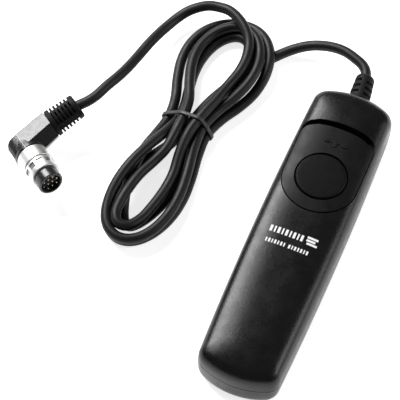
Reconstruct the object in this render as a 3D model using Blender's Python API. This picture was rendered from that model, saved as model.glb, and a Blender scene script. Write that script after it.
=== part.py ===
"""Wired remote shutter release: a two-shell handset with a sliding release lock and a push button,
a hanked cord, and a right-angle multi-pin plug with a screw ring.

Lengths are in millimetres and turned into metres where a mesh is made. The handset lies on its
back: +Y runs along it to the cord, +X across it and +Z out of the button.
"""
import math

import bmesh
import bpy
from mathutils import Matrix, Vector

MM = 0.001
GAP = 0.3

# Handset shells
BODY_W = 29.4
BODY_L = 112.0
SIDE_BULGE = 1.0
END_R = 26.0
CORNER_R = 4.6
PARTING_Z = 9.0
BACK_LEVELS = ((0.0, 3.2), (0.5, 1.7), (1.6, 0.7), (4.2, 0.15), (PARTING_Z - GAP / 2, 0.0))
FRONT_LEVELS = ((PARTING_Z + GAP / 2, 0.0), (12.5, 0.15), (14.8, 0.8), (16.2, 2.0),
                (17.0, 3.8), (17.6, 6.5), (18.0, 11.0))
WALL = 1.6

# Sliding lock and its pocket in the front shell
SLIDE_TRAVEL = 2.0
PANEL_R = 12.3
PANEL_ARC_Y = 19.4
PANEL_TOP_Y = 39.0
PANEL_TOP_SAG = 1.4
PANEL_CORNER = 3.4
PANEL_Z = 14.9
PANEL_PROUD = 0.3
POCKET_Z = 14.6
CUP_R = 10.2
CUP_Z = 12.9
CUP_FLOOR = 1.0
SHELF_Z = 11.2
LEG_X = 7.5
LEG_Y = 36.4
LEG_SIDE = 3.4

# Button
BUTTON_Y = 20.2
BUTTON_R = 8.3
BUTTON_BORE_R = 8.75
BUTTON_TOP = 18.7
BUTTON_SKIRT_Z = 15.7
BUTTON_TRAVEL = 1.6
STEM_R = 2.2
STEM_TIP_Z = 9.0
SPRING_R = 4.2
SPRING_WIRE_R = 0.25
SPRING_TURNS = 2.5

# Board and contacts
BOARD_Z = 3.2
BOARD_T = 1.2
LEAF_T = 0.3
LEAF_HINGE_X = -9.5

# Screws
SCREW_X = 8.6
SCREW_Y = 48.0
SCREW_R = 1.0
SCREW_HEAD_R = 2.0

# Boots, cord and hank
CORD_D = 3.5
BOOT_BASE_Y = 56.3
BOOT_LENGTH = 10.2
BOOT_LEAN = math.radians(5.5)
BOOT_PIVOT_Y = 54.8
HANK_CENTRE = (-49.4, 29.6)
HANK_LEAN = math.radians(-5.3)
HANK_TOP = 9.4
WAIST = 7.6
LOBE_UP = (43.9, 22.6)
LOBE_DOWN = (48.6, 18.2)
LOBE_ROUNDING = 0.35
TIE_W = 1.6
TIE_T = 0.6

# Plug: local +X runs out of the barrel, +Y out of its boot, and the origin is where they cross
PLUG_AT = (-95.4, 0.3, 5.3)
PLUG_AIM = math.radians(-39.0)
PLUG_RISE = math.radians(14.0)
PLUG_ROLL = math.radians(17.0)
HOUSING_R = 4.9
HOUSING_END_Y = 11.1
HOUSING_CAP_Y = -0.3
CAP_LENGTH = 4.6
PLUG_BOOT_END = 21.9
COLLAR = (6.2, 11.2, 5.25)
RING = (11.5, 16.4, 5.05)
NOSE = (16.7, 20.4, 4.2)
NOSE_CORE_R = 3.4
RING_BORE_R = 3.5
PIN_PITCH = 1.7
PIN_ROWS = (3, 4, 3)

# The stretches of the cord that lie free, from boot to hank and from hank to plug
HANDSET_ROUTE = ((-1.9, 68.4, 8.8), (-3.9, 70.6, 8.5), (-7.2, 72.3, 8.0), (-11.3, 73.9, 7.0),
                 (-15.6, 74.4, 5.6), (-19.7, 74.1, 4.1), (-23.5, 73.2, 2.6), (-27.1, 71.4, 1.9),
                 (-30.1, 69.1, 1.8))
PLUG_ROUTE = ((-57.6, 73.7, 6.9), (-59.9, 73.2, 5.8), (-62.8, 71.6, 4.3), (-65.6, 69.3, 2.9),
              (-67.9, 66.0, 2.5), (-69.6, 62.1, 3.3), (-71.0, 57.4, 4.6), (-73.0, 47.8, 6.9),
              (-74.5, 38.4, 9.8), (-75.7, 33.3, 11.1), (-77.5, 28.1, 12.0), (-79.3, 22.9, 12.2),
              (-81.1, 19.9, 12.1), (-82.5, 18.6, 12.0))


def clear_scene():
    for thing in list(bpy.data.objects):
        bpy.data.objects.remove(thing, do_unlink=True)


def material(name, colour, roughness, metallic=0.0):
    made = bpy.data.materials.new(name)
    made.use_nodes = True
    shader = made.node_tree.nodes["Principled BSDF"]
    shader.inputs["Base Color"].default_value = (*colour, 1.0)
    shader.inputs["Roughness"].default_value = roughness
    shader.inputs["Metallic"].default_value = metallic
    return made


def add_object(name, bm, look, parent=None, smooth=True):
    """Turn a mesh drawn in millimetres into a named object in metres."""
    bmesh.ops.scale(bm, vec=(MM, MM, MM), verts=bm.verts)
    bmesh.ops.recalc_face_normals(bm, faces=bm.faces)
    mesh = bpy.data.meshes.new(name)
    bm.to_mesh(mesh)
    bm.free()
    if smooth:
        mesh.shade_smooth()
        mesh.set_sharp_from_angle(angle=math.radians(35))
    thing = bpy.data.objects.new(name, mesh)
    bpy.context.scene.collection.objects.link(thing)
    if look:
        mesh.materials.append(look)
    thing.parent = parent
    return thing


def shape(target, name, bm, operation="DIFFERENCE"):
    """Cut, join or intersect a target with a tool body, which is left out of the render."""
    tool = add_object(name, bm, None, parent=target.parent)
    tool.matrix_basis = target.matrix_basis
    tool.hide_render = True
    tool.display_type = "WIRE"
    modifier = target.modifiers.new(name, "BOOLEAN")
    modifier.operation = operation
    modifier.solver = "EXACT"
    modifier.object = tool


def arc(cx, cy, radius, start, end, steps):
    """Points on an arc, angles in degrees, both ends included."""
    angles = (math.radians(start + (end - start) * i / steps) for i in range(steps + 1))
    return [(cx + radius * math.cos(a), cy + radius * math.sin(a)) for a in angles]


def body_outline(inset):
    """The handset seen from above, moved inwards: bulged sides and arched ends, each arch tangent to
    the corner arcs beside it."""
    radius = min(CORNER_R + 0.15 * inset, 0.72 * (BODY_W / 2 - SIDE_BULGE - inset))
    shrink = inset - (CORNER_R - radius)
    corner_x = BODY_W / 2 - SIDE_BULGE - CORNER_R - shrink
    spread = math.asin(corner_x / (END_R - CORNER_R - shrink))
    arch_y = BODY_L / 2 - END_R
    corner_y = arch_y + (END_R - CORNER_R - shrink) * math.cos(spread)
    lean = math.degrees(spread)
    points = []
    for sign in (1, -1):
        side = [(corner_x + radius + SIDE_BULGE * (1 - t * t), t * corner_y) for t in (-1, -0.5, 0, 0.5)]
        corner = arc(corner_x, corner_y, radius, 0, 90 - lean, 4)
        end = arc(0, arch_y, END_R - inset, 90 - lean, 90 + lean, 6)[1:-1]
        far_corner = arc(-corner_x, corner_y, radius, 90 + lean, 180, 4)[:-1]
        points += [(sign * x, sign * y) for x, y in side + corner + end + far_corner]
    return points


def panel_outline(grow=0.0, lengthen=0.0):
    """The lock panel seen from above: a half circle below, a shallow arch with round corners above."""
    half = PANEL_R + grow
    corner = PANEL_CORNER + grow
    top = PANEL_TOP_Y + grow + lengthen
    shoulder = top - PANEL_TOP_SAG - corner
    arch = [(half * t, top - PANEL_TOP_SAG * t * t * 1.6) for t in (0.45, 0.0, -0.45)]
    points = arc(0, PANEL_ARC_Y, half, 180, 360, 14)
    points += arc(half - corner, shoulder, corner, 0, 70, 3)
    points += arch
    points += arc(corner - half, shoulder, corner, 110, 180, 3)
    return points


def loft(levels, outline=body_outline):
    """A closed body through the same outline at several heights and insets."""
    bm = bmesh.new()
    rings = []
    for z, inset in levels:
        rings.append([bm.verts.new((x, y, z)) for x, y in outline(inset)])
    for low, high in zip(rings, rings[1:]):
        for i in range(len(low)):
            j = (i + 1) % len(low)
            bm.faces.new((low[i], low[j], high[j], high[i]))
    bm.faces.new(rings[0])
    bm.faces.new(rings[-1])
    return bm


def prism(points, z0, z1):
    """An outline raised from z0 to z1."""
    bm = bmesh.new()
    base = bm.faces.new([bm.verts.new((x, y, z0)) for x, y in points])
    raised = bmesh.ops.extrude_face_region(bm, geom=[base])
    tops = [g for g in raised["geom"] if isinstance(g, bmesh.types.BMVert)]
    bmesh.ops.translate(bm, verts=tops, vec=(0, 0, z1 - z0))
    return bm


def box(x0, x1, y0, y1, z0, z1):
    return prism([(x0, y0), (x1, y0), (x1, y1), (x0, y1)], z0, z1)


def turned(profile, segments, place=Matrix()):
    """A body turned about local Z from (radius, height) points, closed on the axis."""
    bm = bmesh.new()
    verts = [bm.verts.new((r, 0, z)) for r, z in profile]
    edges = [bm.edges.new(pair) for pair in zip(verts, verts[1:])]
    if profile[0][0] > 0:
        edges.append(bm.edges.new((verts[-1], verts[0])))
    bmesh.ops.spin(bm, geom=verts + edges, cent=(0, 0, 0), axis=(0, 0, 1), angle=2 * math.pi,
                   steps=segments, use_merge=True, use_duplicate=False)
    bmesh.ops.remove_doubles(bm, verts=bm.verts, dist=0.001)
    bmesh.ops.transform(bm, matrix=place, verts=bm.verts)
    return bm


def disc(radius, z0, z1, segments, place=Matrix()):
    return turned([(0, z0), (radius, z0), (radius, z1), (0, z1)], segments, place)


def merged(*bodies):
    """Several bodies in one mesh, for a tool that cuts in more than one place."""
    whole = bmesh.new()
    for bm in bodies:
        part = bpy.data.meshes.new("part")
        bm.to_mesh(part)
        bm.free()
        whole.from_mesh(part)
        bpy.data.meshes.remove(part)
    return whole


def at(x, y, z=0.0):
    return Matrix.Translation((x, y, z))


def lengthwise(x, y, z):
    """Local Z turned to run along +Y, from the given point."""
    return at(x, y, z) @ Matrix.Rotation(math.radians(-90), 4, "X")


def smooth_path(points, spacing):
    """A Catmull-Rom curve through the points, read at even steps."""
    ends = [2 * points[0] - points[1], *points, 2 * points[-1] - points[-2]]
    dense = []
    for p0, p1, p2, p3 in zip(ends, ends[1:], ends[2:], ends[3:]):
        for i in range(16):
            t = i / 16
            dense.append(0.5 * (2 * p1 + (p2 - p0) * t + (2 * p0 - 5 * p1 + 4 * p2 - p3) * t ** 2
                                + (3 * p1 - p0 - 3 * p2 + p3) * t ** 3))
    dense.append(points[-1])
    walked = [0.0]
    for a, b in zip(dense, dense[1:]):
        walked.append(walked[-1] + (b - a).length)
    count = max(2, round(walked[-1] / spacing))
    path = []
    k = 0
    for i in range(count + 1):
        target = walked[-1] * i / count
        while k < len(dense) - 2 and walked[k + 1] < target:
            k += 1
        share = (target - walked[k]) / (walked[k + 1] - walked[k])
        path.append(dense[k].lerp(dense[k + 1], share))
    return path


def tube(name, points, diameter, spacing, look, parent=None):
    """A plain round tube along a smooth route, with closed ends."""
    curve = bpy.data.curves.new(name, "CURVE")
    curve.dimensions = "3D"
    curve.bevel_depth = diameter / 2 * MM
    curve.bevel_resolution = 2
    curve.use_fill_caps = True
    path = smooth_path([Vector(p) for p in points], spacing)
    spline = curve.splines.new("POLY")
    spline.points.add(len(path) - 1)
    for point, place in zip(spline.points, path):
        point.co = (*(place * MM), 1)
    curve.materials.append(look)
    thing = bpy.data.objects.new(name, curve)
    bpy.context.scene.collection.objects.link(thing)
    thing.parent = parent
    return thing


def screw(name, x, y, head_z, tip_z, head_r, shank_r, look, head_down=True):
    """A round-head screw: the head starts at head_z and the shank ends at tip_z."""
    sign = 1 if head_down else -1
    neck = head_z + sign * head_r * 0.7
    profile = [(0, head_z), (head_r * 0.8, head_z), (head_r, head_z + sign * 0.3), (head_r, neck),
               (shank_r, neck), (shank_r, tip_z - sign * 0.6), (0, tip_z)]
    add_object(name, turned(profile, 12, at(x, y)), look)


def build_back_cover(looks):
    """Tray with four screw posts, two board posts and half of the boot's mouth."""
    cover = add_object("back_cover", loft(BACK_LEVELS), looks["shell"])
    inner = ((WALL, WALL + 1.6), (3.6, WALL + 0.4), (PARTING_Z + 1, WALL))
    shape(cover, "back_hollow", loft(inner))
    top = PARTING_Z - GAP / 2
    posts = [disc(3.0, WALL / 2, top, 12, at(sx * SCREW_X, sy * SCREW_Y)) for sx, sy in CORNERS]
    posts += [disc(1.9, WALL / 2, BOARD_Z - GAP, 10, at(x, y)) for x, y in BOARD_SCREWS]
    for number, post in enumerate(posts, 1):
        shape(cover, f"back_post_{number}", post, "UNION")
    step = [(0, -1), (SCREW_HEAD_R + GAP, -1), (SCREW_HEAD_R + GAP, 3.2), (SCREW_R + GAP, 3.2),
            (SCREW_R + GAP, 10), (0, 10)]
    for number, (sx, sy) in enumerate(CORNERS, 1):
        shape(cover, f"back_hole_{number}", turned(step, 14, at(sx * SCREW_X, sy * SCREW_Y)))
    pilot = [disc(0.9, 1.2, 5, 8, at(x, y)) for x, y in BOARD_SCREWS]
    shape(cover, "back_pilot_holes", merged(*pilot))
    shape(cover, "back_mouth", disc(3.2, -6, 6, 20, lengthwise(0, BOOT_BASE_Y - 1, PARTING_Z)))


def build_front_cover(looks):
    """Crowned shell with the stepped pocket that the lock slides in and four screw posts."""
    cover = add_object("front_cover", loft(FRONT_LEVELS), looks["shell"])
    low = ((PARTING_Z - 1, WALL), (SHELF_Z, WALL))
    shape(cover, "front_hollow", loft(low))
    reach = BODY_L / 2 - WALL - 2.6
    side = BODY_W / 2 - WALL - 1.6
    roof = FRONT_LEVELS[-1][0] - WALL - 0.9
    shape(cover, "front_hollow_far", box(-side, side, 43.5, reach - 0.4, SHELF_Z - 0.2, roof - 0.8))
    shape(cover, "front_hollow_near", box(-side, side, -reach, 4.4, SHELF_Z - 0.2, roof - 0.8))
    pocket = prism(panel_outline(GAP, SLIDE_TRAVEL), POCKET_Z, 20)
    cup = slot_outline(CUP_R + GAP, BUTTON_Y, SLIDE_TRAVEL, 10)
    shape(cover, "lock_pocket", pocket)
    shape(cover, "cup_pocket", prism(cup, CUP_Z - GAP, POCKET_Z + 1))
    shape(cover, "stem_slot", prism(slot_outline(4.2, BUTTON_Y, SLIDE_TRAVEL, 6), SHELF_Z - 1, CUP_Z))
    leg = LEG_SIDE / 2 + GAP
    slots = [box(x - leg, x + leg, LEG_Y - leg, LEG_Y + leg + SLIDE_TRAVEL, SHELF_Z - 1, POCKET_Z + 1)
             for x in (-LEG_X, LEG_X)]
    shape(cover, "leg_slots", merged(*slots))
    bottom = PARTING_Z + GAP / 2
    for number, (sx, sy) in enumerate(CORNERS, 1):
        post = disc(2.6, bottom, roof - 0.4, 12, at(sx * SCREW_X, sy * SCREW_Y))
        shape(cover, f"front_post_{number}", post, "UNION")
    holes = [disc(SCREW_R + GAP, bottom - 1, 14.4, 10, at(sx * SCREW_X, sy * SCREW_Y)) for sx, sy in CORNERS]
    shape(cover, "front_holes", merged(*holes))
    shape(cover, "flange_pocket", disc(4.4, 50.5, 53.7, 20, lengthwise(0, 0, PARTING_Z)))
    shape(cover, "front_mouth", disc(3.2, -6, 6, 20, lengthwise(0, BOOT_BASE_Y - 1, PARTING_Z)))


def slot_outline(radius, y, travel, steps):
    """A round hole drawn out along +Y."""
    return arc(0, y, radius, 180, 360, steps) + arc(0, y + travel, radius, 0, 180, steps)


def build_lock_slider(looks):
    """Panel with a cup for the button and two legs, and the keeper bar screwed under the shelf."""
    raised = [(z + PANEL_PROUD, inset) for z, inset in FRONT_LEVELS]
    panel = add_object("lock_slider", prism(panel_outline(), PANEL_Z, 20), looks["panel"])
    panel.parent = None
    shape(panel, "panel_crown", loft(raised), "INTERSECT")
    shape(panel, "panel_cup", disc(CUP_R, CUP_Z, PANEL_Z + 0.6, 28, at(0, BUTTON_Y)), "UNION")
    leg = LEG_SIDE / 2
    for number, x in enumerate((-LEG_X, LEG_X), 1):
        body = box(x - leg, x + leg, LEG_Y - leg, LEG_Y + leg, SHELF_Z + 0.1, PANEL_Z + 0.6)
        shape(panel, f"panel_leg_{number}", body, "UNION")
    bore = disc(BUTTON_BORE_R, CUP_Z + CUP_FLOOR, 22, 36, at(0, BUTTON_Y))
    stem = disc(STEM_R + GAP, CUP_Z - 1, CUP_Z + 2, 16, at(0, BUTTON_Y))
    shape(panel, "button_bore", bore)
    shape(panel, "stem_bore", stem)
    pilots = [disc(1.05, SHELF_Z - 1, 14.0, 8, at(x, LEG_Y)) for x in (-LEG_X, LEG_X)]
    shape(panel, "leg_pilots", merged(*pilots))

    keeper_top = SHELF_Z - GAP
    keeper = add_object("slider_keeper", box(-10.5, 10.5, 34.0, 38.8, keeper_top - 1, keeper_top),
                        looks["steel"], smooth=False)
    holes = [disc(1.1, keeper_top - 2, keeper_top + 1, 10, at(x, LEG_Y)) for x in (-LEG_X, LEG_X)]
    shape(keeper, "keeper_holes", merged(*holes))
    for number, x in enumerate((-LEG_X, LEG_X), 1):
        screw(f"keeper_screw_{number}", x, LEG_Y, keeper_top - 1.0 - GAP - 1.05, 13.6, 1.5, 0.75,
              looks["screw"])


def build_button(looks):
    """Hollow cap with a long stem, held by a clip and lifted by a coil spring."""
    edge = 0.45
    roof = BUTTON_TOP - 1.5
    profile = [(0, BUTTON_TOP), (BUTTON_R * 0.55, BUTTON_TOP - 0.1), (BUTTON_R - edge, BUTTON_TOP - 0.3),
               (BUTTON_R, BUTTON_TOP - 0.3 - edge), (BUTTON_R, BUTTON_SKIRT_Z),
               (BUTTON_R - 1.5, BUTTON_SKIRT_Z), (BUTTON_R - 1.5, roof), (STEM_R, roof),
               (STEM_R, STEM_TIP_Z + 1.6), (0.9, STEM_TIP_Z), (0, STEM_TIP_Z)]
    add_object("release_button", turned(profile, 36, at(0, BUTTON_Y)), looks["button"])

    clip_top = CUP_Z - GAP
    clip = turned([(STEM_R + 0.2, clip_top), (3.6, clip_top), (3.6, clip_top - 0.6),
                   (STEM_R + 0.2, clip_top - 0.6)], 16, at(0, BUTTON_Y))
    add_object("stem_clip", clip, looks["steel"])

    seat = CUP_Z + CUP_FLOOR + 0.2 + SPRING_WIRE_R
    head = roof - 0.2 - SPRING_WIRE_R
    steps = round(SPRING_TURNS * 14)
    coil = []
    for i in range(steps + 1):
        angle = 2 * math.pi * i / 14
        coil.append((SPRING_R * math.cos(angle), BUTTON_Y + SPRING_R * math.sin(angle),
                     seat + (head - seat) * i / steps))
    spring = tube("button_spring", coil, SPRING_WIRE_R * 2, 1.9, looks["steel"])
    spring.data.bevel_resolution = 1


def build_electronics(looks):
    """Circuit board on two posts with the moving common leaf and the two fixed contacts."""
    top = BOARD_Z + BOARD_T
    board = add_object("circuit_board", box(-10.6, 10.6, 9.0, 44.0, BOARD_Z, top), looks["board"],
                       smooth=False)
    holes = [disc(1.2, BOARD_Z - 1, top + 1, 10, at(x, y)) for x, y in BOARD_SCREWS]
    shape(board, "board_holes", merged(*holes))
    for number, (x, y) in enumerate(BOARD_SCREWS, 1):
        screw(f"board_screw_{number}", x, y, top + GAP + 1.2, 1.6, 1.7, 0.6, looks["screw"], False)
    leaf_top = STEM_TIP_Z - GAP
    block_top = leaf_top - LEAF_T - GAP
    add_object("contact_block", box(-10.4, LEAF_HINGE_X + 1.4, 16.6, 23.8, top + GAP, block_top),
               looks["insulator"], smooth=False)
    add_object("common_leaf", box(LEAF_HINGE_X - 0.6, 3.4, 18.0, 22.4, leaf_top - LEAF_T, leaf_top),
               looks["brass"], smooth=False)
    contact_strip("focus_contact", 18.2, 19.9, 5.9, looks["brass"])
    contact_strip("release_contact", 20.6, 22.2, 5.4, looks["brass"])


def contact_strip(name, y0, y1, finger_z, look):
    """A bent strip: a foot on the board, a riser and a finger under the leaf's tip."""
    foot = BOARD_Z + BOARD_T + GAP
    side = [(9.0, foot), (9.0, foot + LEAF_T), (6.4, foot + LEAF_T), (6.4, finger_z),
            (1.6, finger_z), (1.6, finger_z - LEAF_T), (6.1, finger_z - LEAF_T), (6.1, foot)]
    strip = prism(side, 0, y1 - y0)
    bmesh.ops.transform(strip, verts=strip.verts,
                        matrix=at(0, y1) @ Matrix.Rotation(math.radians(90), 4, "X"))
    add_object(name, strip, look, smooth=False)


def build_cord_entry(looks):
    """Slotted strain relief caught in the shells' mouth, the cord's end and its three leads."""
    start = BOOT_BASE_Y - 4.2
    length = BOOT_BASE_Y + BOOT_LENGTH - start
    profile = [(0, 0), (3.9, 0), (3.9, 1.2), (2.9, 1.2), (2.9, 4.6), (3.4, 4.6), (3.4, 5.8)]
    ribs = 4
    pitch = (length - 6.4) / ribs
    for i in range(ribs):
        z = 5.8 + pitch * i
        outer = 3.35 - 0.14 * i
        profile += [(2.35, z), (2.35, z + pitch * 0.4), (outer, z + pitch * 0.4), (outer, z + pitch)]
    profile += [(2.6, length - 0.3), (2.5, length), (0, length)]
    lean = at(0, BOOT_PIVOT_Y) @ Matrix.Rotation(BOOT_LEAN, 4, "Z")
    place = lean @ lengthwise(0, start - BOOT_PIVOT_Y, PARTING_Z)
    add_object("handset_boot", turned(profile, 20, place), looks["rubber"])
    add_object("cord_tail", disc(CORD_D / 2, 0, 4.2, 12, lengthwise(0, start - 4.5, PARTING_Z)),
               looks["rubber"])
    pad = BOARD_Z + BOARD_T + 0.75
    for name, x in (("wire_common", -2.6), ("wire_focus", 0.0), ("wire_release", 2.6)):
        route = ((x * 0.42, start - 4.8, PARTING_Z), (x * 0.8, start - 7.0, PARTING_Z - 0.8),
                 (x, 42.6, pad + 0.7), (x, 40.6, pad))
        tube(name, route, 0.9, 1.6, looks[name]).data.bevel_resolution = 1


def build_cover_screws(looks):
    for number, (sx, sy) in enumerate(CORNERS, 1):
        screw(f"cover_screw_{number}", sx * SCREW_X, sy * SCREW_Y, 1.4, 13.8, SCREW_HEAD_R, SCREW_R,
              looks["screw"])


def build_plug(looks):
    """Right-angle plug: six-sided housing with an end cap, ribbed boot, barrel and ten pins."""
    frame = bpy.data.objects.new("plug_frame", None)
    bpy.context.scene.collection.objects.link(frame)
    frame.location = Vector(PLUG_AT) * MM
    frame.rotation_euler = (PLUG_ROLL, -PLUG_RISE, PLUG_AIM)

    six = arc(0, 0, HOUSING_R / math.cos(math.radians(30)), 0, 300, 5)
    length = HOUSING_END_Y - HOUSING_CAP_Y
    along_boot = lengthwise(0, HOUSING_CAP_Y, 0)
    body = prism(six, 0, length)
    bmesh.ops.transform(body, matrix=along_boot, verts=body.verts)
    housing = add_object("plug_housing", body, looks["plug"], frame)
    out = Matrix.Rotation(math.radians(90), 4, "Y")
    collar = disc(COLLAR[2] - 0.5, 1.0, COLLAR[0] - GAP, 24, out)
    shape(housing, "housing_outlet", collar, "UNION")
    keep = prism([(-9, HOUSING_CAP_Y), (9, HOUSING_CAP_Y), (9, 30), (-9, 30)], -9, 9)
    shape(housing, "housing_trim", keep, "INTERSECT")

    cap = loft(((HOUSING_CAP_Y - GAP, 0.0), (HOUSING_CAP_Y - 2.2, 0.15), (HOUSING_CAP_Y - CAP_LENGTH, 1.9)),
               lambda inset: arc(0, 0, (HOUSING_R - inset) / math.cos(math.radians(30)), 0, 300, 5))
    bmesh.ops.transform(cap, matrix=Matrix.Rotation(math.radians(-90), 4, "X"), verts=cap.verts)
    add_object("plug_end_cap", cap, looks["plug"], frame)

    start = HOUSING_END_Y + GAP
    ribs = 6
    pitch = (PLUG_BOOT_END - start - 1.6) / ribs
    profile = [(0, start), (4.6, start), (4.6, start + 1.3)]
    for i in range(ribs):
        y = start + 1.3 + pitch * i
        outer = 4.65 - 0.09 * i
        profile += [(3.5, y), (3.5, y + pitch * 0.4), (outer, y + pitch * 0.4), (outer, y + pitch)]
    profile += [(4.0, PLUG_BOOT_END), (0, PLUG_BOOT_END)]
    add_object("plug_boot", turned(profile, 20, lengthwise(0, 0, 0)), looks["rubber"], frame)

    x0, x1, radius = COLLAR
    add_object("barrel_collar", disc(radius, x0, x1, 32, out), looks["nickel"], frame)
    build_lock_ring(looks, frame, out)
    build_nose(looks, frame, out)


def build_lock_ring(looks, frame, out):
    """Screw ring that turns freely on the barrel."""
    x0, x1, radius = RING
    profile = [(RING_BORE_R, x0), (radius - 0.2, x0), (radius, x0 + 0.3), (radius, x1 - 0.5),
               (radius - 0.4, x1), (RING_BORE_R, x1)]
    add_object("lock_ring", turned(profile, 32, out), looks["nickel"], frame)


def build_nose(looks, frame, out):
    """Black sleeve round a recessed insert that carries the pins."""
    x0, x1, radius = NOSE
    floor = x0 + 0.4
    back = COLLAR[1] + GAP
    profile = [(0, back), (NOSE_CORE_R, back), (NOSE_CORE_R, x0), (radius, x0), (radius, x1 - 0.3), (radius - 0.3, x1),
               (radius - 0.8, x1), (radius - 0.8, floor), (0, floor)]
    add_object("nose_sleeve", turned(profile, 28, out), looks["plug"], frame)
    carrier_top = floor + 1.2
    add_object("pin_carrier", disc(radius - 0.8 - GAP, floor + 0.3, carrier_top, 20, out),
               looks["insulator"], frame)
    number = 0
    for row, count in enumerate(PIN_ROWS):
        for column in range(count):
            number += 1
            place = out @ at((row - 1) * PIN_PITCH, (column - (count - 1) / 2) * PIN_PITCH)
            pin = turned([(0, carrier_top + 0.15), (0.3, carrier_top + 0.15), (0.3, x1 - 0.7),
                          (0.12, x1 - 0.5), (0, x1 - 0.5)], 8, place)
            add_object(f"contact_pin_{number:02d}", pin, looks["gold"], frame)


def hank_point(along, across):
    """A place in the hank's own plane, carried to the surface that it lies on."""
    turn = Matrix.Rotation(HANK_LEAN, 2)
    x, y = turn @ Vector((across, along))
    return HANK_CENTRE[0] + x, HANK_CENTRE[1] + y


def hank_strand(angle, waist, inward):
    """A strand's place round the two lobes; angle 0 is the right of the waist, 90 the upper end."""
    c = math.cos(math.radians(angle))
    s = math.sin(math.radians(angle))
    reach, width = LOBE_UP if s > 0 else LOBE_DOWN
    width -= 1.8 * inward
    swell = s * s * (1 + LOBE_ROUNDING) / (s * s + LOBE_ROUNDING)
    return (reach - inward) * s, c * (waist + (width - waist) * swell)


def build_hank(looks):
    """The tied bundle as one body, and the twist tie round its waist."""
    outline = [hank_point(*hank_strand(angle, WAIST, -CORD_D / 2)) for angle in range(0, 360, 10)]
    hank = add_object("cord_hank", prism(outline, 0, HANK_TOP), looks["rubber"])
    groove = TIE_W + 2 * GAP
    corners = [hank_point(u, v) for u, v in ((-groove / 2, -30), (groove / 2, -30), (groove / 2, 30),
                                             (-groove / 2, 30))]
    shape(hank, "tie_groove", prism(corners, -1, TIE_T + 2 * GAP))

    half = WAIST + CORD_D / 2 * 1.1
    inner = rounded_box(half + GAP + 0.5, TIE_T + 0.1, HANK_TOP + GAP, 2.4)
    outer = rounded_box(half + GAP + 0.5 + TIE_T, 0.1, HANK_TOP + GAP + TIE_T, 3.0)
    band = bmesh.new()
    loops = []
    for outline in (outer, inner):
        for u in (-TIE_W / 2, TIE_W / 2):
            loops.append([band.verts.new((*hank_point(u, v), z)) for v, z in outline])
    outer_a, outer_b, inner_a, inner_b = loops
    for first, second in ((outer_a, outer_b), (outer_b, inner_b), (inner_b, inner_a), (inner_a, outer_a)):
        for i in range(len(first)):
            j = (i + 1) % len(first)
            band.faces.new((first[i], first[j], second[j], second[i]))
    add_object("cable_tie", band, looks["rubber"])


def rounded_box(half, low, high, radius):
    """A rectangle on the waist's cross-section with round upper corners."""
    points = [(-half, low), (half, low)]
    points += arc(half - radius, high - radius, radius, 0, 90, 4)
    points += arc(radius - half, high - radius, radius, 90, 180, 4)
    return points


CORNERS = ((-1, -1), (1, -1), (-1, 1), (1, 1))
BOARD_SCREWS = ((-7.6, 31.0), (7.6, 12.6))


def main():
    clear_scene()
    looks = {
        "shell": material("black_shell", (0.02, 0.02, 0.022), 0.45),
        "panel": material("black_panel", (0.022, 0.022, 0.024), 0.5),
        "button": material("black_button", (0.018, 0.018, 0.02), 0.5),
        "plug": material("black_plug", (0.02, 0.02, 0.022), 0.4),
        "rubber": material("black_rubber", (0.015, 0.015, 0.016), 0.55),
        "insulator": material("dark_insulator", (0.01, 0.01, 0.01), 0.6),
        "nickel": material("nickel", (0.75, 0.73, 0.7), 0.2, 1.0),
        "gold": material("gold_plate", (0.9, 0.7, 0.35), 0.25, 1.0),
        "steel": material("spring_steel", (0.6, 0.6, 0.62), 0.3, 1.0),
        "screw": material("screw_steel", (0.4, 0.4, 0.42), 0.35, 1.0),
        "brass": material("contact_brass", (0.8, 0.62, 0.3), 0.3, 1.0),
        "board": material("board_green", (0.03, 0.16, 0.06), 0.5),
        "wire_common": material("wire_black", (0.02, 0.02, 0.02), 0.5),
        "wire_focus": material("wire_white", (0.8, 0.8, 0.78), 0.5),
        "wire_release": material("wire_red", (0.6, 0.03, 0.03), 0.5),
    }
    build_back_cover(looks)
    build_front_cover(looks)
    build_cover_screws(looks)
    build_lock_slider(looks)
    build_button(looks)
    build_electronics(looks)
    build_cord_entry(looks)
    build_plug(looks)
    build_hank(looks)
    tube("cord_handset_side", HANDSET_ROUTE, CORD_D, 8, looks["rubber"])
    tube("cord_plug_side", PLUG_ROUTE, CORD_D, 8, looks["rubber"])


main()
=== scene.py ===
import math

import bmesh
import bpy
import numpy as np
from mathutils import Matrix, Quaternion, Vector


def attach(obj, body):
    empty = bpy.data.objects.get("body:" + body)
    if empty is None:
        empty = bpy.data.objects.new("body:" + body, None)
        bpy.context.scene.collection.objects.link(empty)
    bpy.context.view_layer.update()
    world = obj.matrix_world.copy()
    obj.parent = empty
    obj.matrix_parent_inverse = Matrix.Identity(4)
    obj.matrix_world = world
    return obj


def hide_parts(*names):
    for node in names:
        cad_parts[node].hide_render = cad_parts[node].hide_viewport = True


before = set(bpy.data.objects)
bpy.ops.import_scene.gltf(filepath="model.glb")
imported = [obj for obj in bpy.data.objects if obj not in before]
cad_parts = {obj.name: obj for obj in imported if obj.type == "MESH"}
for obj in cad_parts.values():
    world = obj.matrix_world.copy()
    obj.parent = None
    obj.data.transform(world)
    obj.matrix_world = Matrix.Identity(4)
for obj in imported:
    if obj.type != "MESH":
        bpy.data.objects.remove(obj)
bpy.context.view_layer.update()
scene = bpy.context.scene
MM = 0.001

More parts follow.
